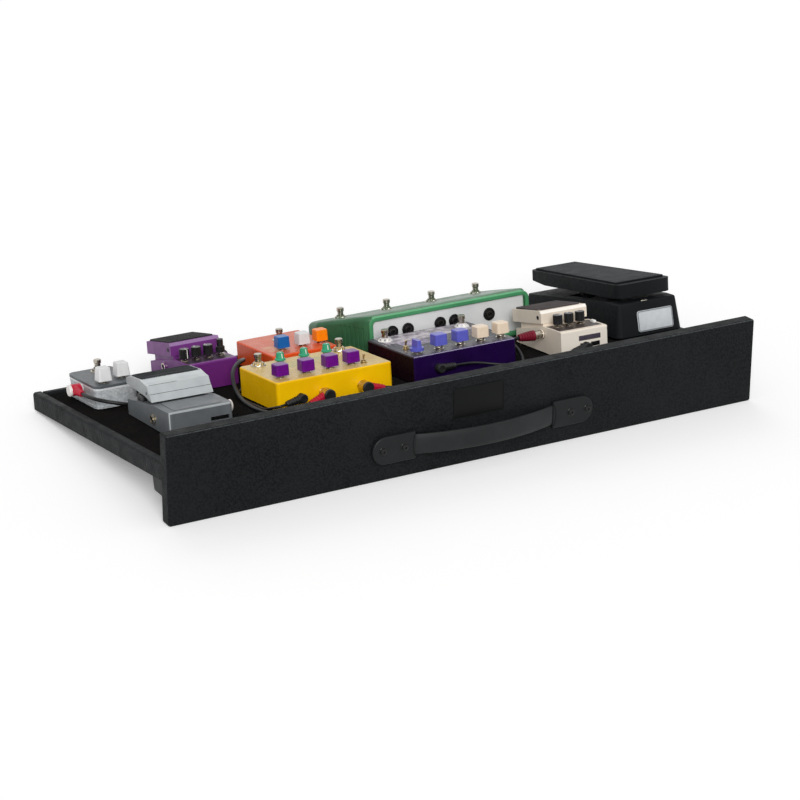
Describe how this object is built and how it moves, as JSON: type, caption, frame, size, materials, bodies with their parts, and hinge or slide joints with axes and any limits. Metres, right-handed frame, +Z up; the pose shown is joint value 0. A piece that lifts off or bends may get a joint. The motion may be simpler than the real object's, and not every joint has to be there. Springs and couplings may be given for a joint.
{
  "type": "guitar pedal case",
  "caption": "Covered pedalboard tray of a guitar pedal case, with strap handle, carpeted sloping deck, patched effect pedals and a rocker pedal",
  "frame": {"origin": "centre of the footprint, on the floor the tray stands on", "axes": "+Z up, +X along the front wall to the right as seen from outside it, +Y from the front wall towards the player"},
  "size_m": [0.8987, 0.4791, 0.1356],
  "materials": {
    "covered_wood": "textured black vinyl over plywood",
    "carpet": "black loop pile, black hook strips",
    "handle_plastic": "satin black",
    "strap_rubber": "matt black",
    "mini_metal": "hammered silver paint, dark grey top",
    "grey_metal": "satin grey paint",
    "silver_metal": "silver paint, black rubber pad",
    "purple_metal": "satin purple paint",
    "orange_metal": "gloss orange paint",
    "yellow_metal": "gloss yellow paint, cream top",
    "green_shell": "dark green shell, green rim, white panel",
    "violet_metal": "gloss violet paint, grey top",
    "cream_metal": "satin cream paint",
    "wah_metal": "black crinkle paint, rubber pad",
    "switch_metal": "polished",
    "black_knob": "black, fluted",
    "white_knob": "white",
    "blue_knob": "blue",
    "orange_knob": "orange",
    "purple_knob": "purple",
    "green_knob": "green with a white line",
    "violet_knob": "blue-violet",
    "cream_knob": "cream",
    "plug_rubber": "red and black boots on plated heads",
    "cord_rubber": "black"
  },
  "bodies": {
    "board": {"corner_gussets": "covered_wood", "cream_case": "cream_metal", "deck_panel": "covered_wood", "front_wall": "covered_wood", "green_case": "green_shell", "grey_case": "grey_metal", "handle_caps": "handle_plastic", "handle_strap": "strap_rubber", "hook_and_loop": "carpet", "lead_plugs": "plug_rubber", "link_lead": "cord_rubber", "mini_case": "mini_metal", "mini_lead": "cord_rubber", "orange_case": "orange_metal", "purple_case": "purple_metal", "purple_lead": "cord_rubber", "rim_rails": "covered_wood", "violet_case": "violet_metal", "violet_power_lead": "cord_rubber", "wah_base": "wah_metal", "yellow_case": "yellow_metal", "yellow_power_lead": "cord_rubber"},
    "cream_knob_1": {"cream_knob_1": "black_knob"},
    "cream_knob_2": {"cream_knob_2": "black_knob"},
    "cream_knob_3": {"cream_knob_3": "black_knob"},
    "cream_treadle": {"cream_treadle": "cream_metal"},
    "green_footswitch_1": {"green_footswitch_1": "switch_metal"},
    "green_footswitch_2": {"green_footswitch_2": "switch_metal"},
    "green_footswitch_3": {"green_footswitch_3": "switch_metal"},
    "green_footswitch_4": {"green_footswitch_4": "switch_metal"},
    "grey_treadle": {"grey_treadle": "silver_metal"},
    "mini_footswitch": {"mini_footswitch": "switch_metal"},
    "mini_knob_1": {"mini_knob_1": "white_knob"},
    "mini_knob_2": {"mini_knob_2": "white_knob"},
    "orange_footswitch": {"orange_footswitch": "switch_metal"},
    "orange_knob_1": {"orange_knob_1": "blue_knob"},
    "orange_knob_2": {"orange_knob_2": "white_knob"},
    "orange_knob_3": {"orange_knob_3": "orange_knob"},
    "purple_knob_1": {"purple_knob_1": "black_knob"},
    "purple_knob_2": {"purple_knob_2": "black_knob"},
    "purple_knob_3": {"purple_knob_3": "black_knob"},
    "purple_knob_4": {"purple_knob_4": "black_knob"},
    "purple_treadle": {"purple_treadle": "purple_metal"},
    "violet_footswitch_1": {"violet_footswitch_1": "switch_metal"},
    "violet_footswitch_2": {"violet_footswitch_2": "switch_metal"},
    "violet_knob_1": {"violet_knob_1": "violet_knob"},
    "violet_knob_2": {"violet_knob_2": "violet_knob"},
    "violet_knob_3": {"violet_knob_3": "violet_knob"},
    "violet_knob_4": {"violet_knob_4": "cream_knob"},
    "violet_knob_5": {"violet_knob_5": "cream_knob"},
    "wah_rocker": {"wah_rocker": "wah_metal"},
    "yellow_footswitch_1": {"yellow_footswitch_1": "switch_metal"},
    "yellow_footswitch_2": {"yellow_footswitch_2": "switch_metal"},
    "yellow_knob_1": {"yellow_knob_1": "purple_knob"},
    "yellow_knob_2": {"yellow_knob_2": "purple_knob"},
    "yellow_knob_3": {"yellow_knob_3": "purple_knob"},
    "yellow_knob_4": {"yellow_knob_4": "purple_knob"},
    "yellow_small_knob_1": {"yellow_small_knob_1": "green_knob"},
    "yellow_small_knob_2": {"yellow_small_knob_2": "green_knob"},
    "yellow_small_knob_3": {"yellow_small_knob_3": "green_knob"}
  },
  "joints": [
    {"name": "cream_knob_1_turn", "type": "hinge", "parent": "board", "child": "cream_knob_1", "pos_m": [0.22981, -0.05347, 0.10128], "axis": [0, 0.1155, 0.9933], "range_deg": [-135, 135]},
    {"name": "cream_knob_2_turn", "type": "hinge", "parent": "board", "child": "cream_knob_2", "pos_m": [0.24779, -0.0544, 0.10139], "axis": [0, 0.1155, 0.9933], "range_deg": [-135, 135]},
    {"name": "cream_knob_3_turn", "type": "hinge", "parent": "board", "child": "cream_knob_3", "pos_m": [0.26576, -0.05534, 0.1015], "axis": [0, 0.1155, 0.9933], "range_deg": [-135, 135]},
    {"name": "cream_treadle_press", "type": "hinge", "parent": "board", "child": "cream_treadle", "pos_m": [0.21585, -0.02319, 0.1039], "axis": [-0.9986, 0.052, -0.006], "range_deg": [0, 2.5], "stiffness_Nm_per_rad": 40},
    {"name": "green_footswitch_1_press", "type": "slide", "parent": "board", "child": "green_footswitch_1", "axis": [0, -0.1155, -0.9933], "range_m": [0, 0.0025], "stiffness_N_per_m": 8000},
    {"name": "green_footswitch_2_press", "type": "slide", "parent": "board", "child": "green_footswitch_2", "axis": [0, -0.1155, -0.9933], "range_m": [0, 0.0025], "stiffness_N_per_m": 8000},
    {"name": "green_footswitch_3_press", "type": "slide", "parent": "board", "child": "green_footswitch_3", "axis": [0, -0.1155, -0.9933], "range_m": [0, 0.0025], "stiffness_N_per_m": 8000},
    {"name": "green_footswitch_4_press", "type": "slide", "parent": "board", "child": "green_footswitch_4", "axis": [0, -0.1155, -0.9933], "range_m": [0, 0.0025], "stiffness_N_per_m": 8000},
    {"name": "grey_treadle_press", "type": "hinge", "parent": "board", "child": "grey_treadle", "pos_m": [-0.38455, -0.01324, 0.09821], "axis": [-0.9994, 0.0347, -0.004], "range_deg": [0, 2.5], "stiffness_Nm_per_rad": 40},
    {"name": "mini_footswitch_press", "type": "slide", "parent": "board", "child": "mini_footswitch", "axis": [0, -0.1155, -0.9933], "range_m": [0, 0.0025], "stiffness_N_per_m": 8000},
    {"name": "mini_knob_1_turn", "type": "hinge", "parent": "board", "child": "mini_knob_1", "pos_m": [-0.3875, 0.12093, 0.07416], "axis": [0, 0.1155, 0.9933], "range_deg": [-135, 135]},
    {"name": "mini_knob_2_turn", "type": "hinge", "parent": "board", "child": "mini_knob_2", "pos_m": [-0.3565, 0.13185, 0.07289], "axis": [0, 0.1155, 0.9933], "range_deg": [-135, 135]},
    {"name": "orange_footswitch_press", "type": "slide", "parent": "board", "child": "orange_footswitch", "axis": [0, -0.1155, -0.9933], "range_m": [0, 0.0025], "stiffness_N_per_m": 8000},
    {"name": "orange_knob_1_turn", "type": "hinge", "parent": "board", "child": "orange_knob_1", "pos_m": [-0.1201, 0.11419, 0.07686], "axis": [0, 0.1155, 0.9933], "range_deg": [-135, 135]},
    {"name": "orange_knob_2_turn", "type": "hinge", "parent": "board", "child": "orange_knob_2", "pos_m": [-0.0879, 0.11419, 0.07686], "axis": [0, 0.1155, 0.9933], "range_deg": [-135, 135]},
    {"name": "orange_knob_3_turn", "type": "hinge", "parent": "board", "child": "orange_knob_3", "pos_m": [-0.0597, 0.11419, 0.07686], "axis": [0, 0.1155, 0.9933], "range_deg": [-135, 135]},
    {"name": "purple_knob_1_turn", "type": "hinge", "parent": "board", "child": "purple_knob_1", "pos_m": [-0.2628, 0.12966, 0.07999], "axis": [0, 0.1155, 0.9933], "range_deg": [-135, 135]},
    {"name": "purple_knob_2_turn", "type": "hinge", "parent": "board", "child": "purple_knob_2", "pos_m": [-0.2448, 0.12966, 0.07999], "axis": [0, 0.1155, 0.9933], "range_deg": [-135, 135]},
    {"name": "purple_knob_3_turn", "type": "hinge", "parent": "board", "child": "purple_knob_3", "pos_m": [-0.2266, 0.12966, 0.07999], "axis": [0, 0.1155, 0.9933], "range_deg": [-135, 135]},
    {"name": "purple_knob_4_turn", "type": "hinge", "parent": "board", "child": "purple_knob_4", "pos_m": [-0.208, 0.12966, 0.07999], "axis": [0, 0.1155, 0.9933], "range_deg": [-135, 135]},
    {"name": "purple_treadle_press", "type": "hinge", "parent": "board", "child": "purple_treadle", "pos_m": [-0.2712, 0.16582, 0.08193], "axis": [-1, 0, 0], "range_deg": [0, 2.5], "stiffness_Nm_per_rad": 40},
    {"name": "violet_footswitch_1_press", "type": "slide", "parent": "board", "child": "violet_footswitch_1", "axis": [0, -0.1155, -0.9933], "range_m": [0, 0.0025], "stiffness_N_per_m": 8000},
    {"name": "violet_footswitch_2_press", "type": "slide", "parent": "board", "child": "violet_footswitch_2", "axis": [0, -0.1155, -0.9933], "range_m": [0, 0.0025], "stiffness_N_per_m": 8000},
    {"name": "violet_knob_1_turn", "type": "hinge", "parent": "board", "child": "violet_knob_1", "pos_m": [0.005, -0.04626, 0.09954], "axis": [0, 0.1155, 0.9933], "range_deg": [-135, 135]},
    {"name": "violet_knob_2_turn", "type": "hinge", "parent": "board", "child": "violet_knob_2", "pos_m": [0.04, -0.04591, 0.10252], "axis": [0, 0.1155, 0.9933], "range_deg": [-135, 135]},
    {"name": "violet_knob_3_turn", "type": "hinge", "parent": "board", "child": "violet_knob_3", "pos_m": [0.074, -0.04591, 0.10252], "axis": [0, 0.1155, 0.9933], "range_deg": [-135, 135]},
    {"name": "violet_knob_4_turn", "type": "hinge", "parent": "board", "child": "violet_knob_4", "pos_m": [0.1067, -0.04591, 0.10252], "axis": [0, 0.1155, 0.9933], "range_deg": [-135, 135]},
    {"name": "violet_knob_5_turn", "type": "hinge", "parent": "board", "child": "violet_knob_5", "pos_m": [0.1395, -0.04591, 0.10252], "axis": [0, 0.1155, 0.9933], "range_deg": [-135, 135]},
    {"name": "wah_rock", "type": "hinge", "parent": "board", "child": "wah_rocker", "pos_m": [0.33389, 0.08321, 0.08801], "axis": [0.9996, -0.0295, 0.0034], "range_deg": [-5.5, 2.6]},
    {"name": "yellow_footswitch_1_press", "type": "slide", "parent": "board", "child": "yellow_footswitch_1", "axis": [0, -0.1155, -0.9933], "range_m": [0, 0.0025], "stiffness_N_per_m": 8000},
    {"name": "yellow_footswitch_2_press", "type": "slide", "parent": "board", "child": "yellow_footswitch_2", "axis": [0, -0.1155, -0.9933], "range_m": [0, 0.0025], "stiffness_N_per_m": 8000},
    {"name": "yellow_knob_1_turn", "type": "hinge", "parent": "board", "child": "yellow_knob_1", "pos_m": [-0.204, -0.04595, 0.10222], "axis": [0, 0.1155, 0.9933], "range_deg": [-135, 135]},
    {"name": "yellow_knob_2_turn", "type": "hinge", "parent": "board", "child": "yellow_knob_2", "pos_m": [-0.1655, -0.04595, 0.10222], "axis": [0, 0.1155, 0.9933], "range_deg": [-135, 135]},
    {"name": "yellow_knob_3_turn", "type": "hinge", "parent": "board", "child": "yellow_knob_3", "pos_m": [-0.1295, -0.04595, 0.10222], "axis": [0, 0.1155, 0.9933], "range_deg": [-135, 135]},
    {"name": "yellow_knob_4_turn", "type": "hinge", "parent": "board", "child": "yellow_knob_4", "pos_m": [-0.097, -0.04595, 0.10222], "axis": [0, 0.1155, 0.9933], "range_deg": [-135, 135]},
    {"name": "yellow_small_knob_1_turn", "type": "hinge", "parent": "board", "child": "yellow_small_knob_1", "pos_m": [-0.168, 0.02527, 0.09394], "axis": [0, 0.1155, 0.9933], "range_deg": [-135, 135]},
    {"name": "yellow_small_knob_2_turn", "type": "hinge", "parent": "board", "child": "yellow_small_knob_2", "pos_m": [-0.1318, 0.02527, 0.09394], "axis": [0, 0.1155, 0.9933], "range_deg": [-135, 135]},
    {"name": "yellow_small_knob_3_turn", "type": "hinge", "parent": "board", "child": "yellow_small_knob_3", "pos_m": [-0.097, 0.02527, 0.09394], "axis": [0, 0.1155, 0.9933], "range_deg": [-135, 135]}
  ]
}
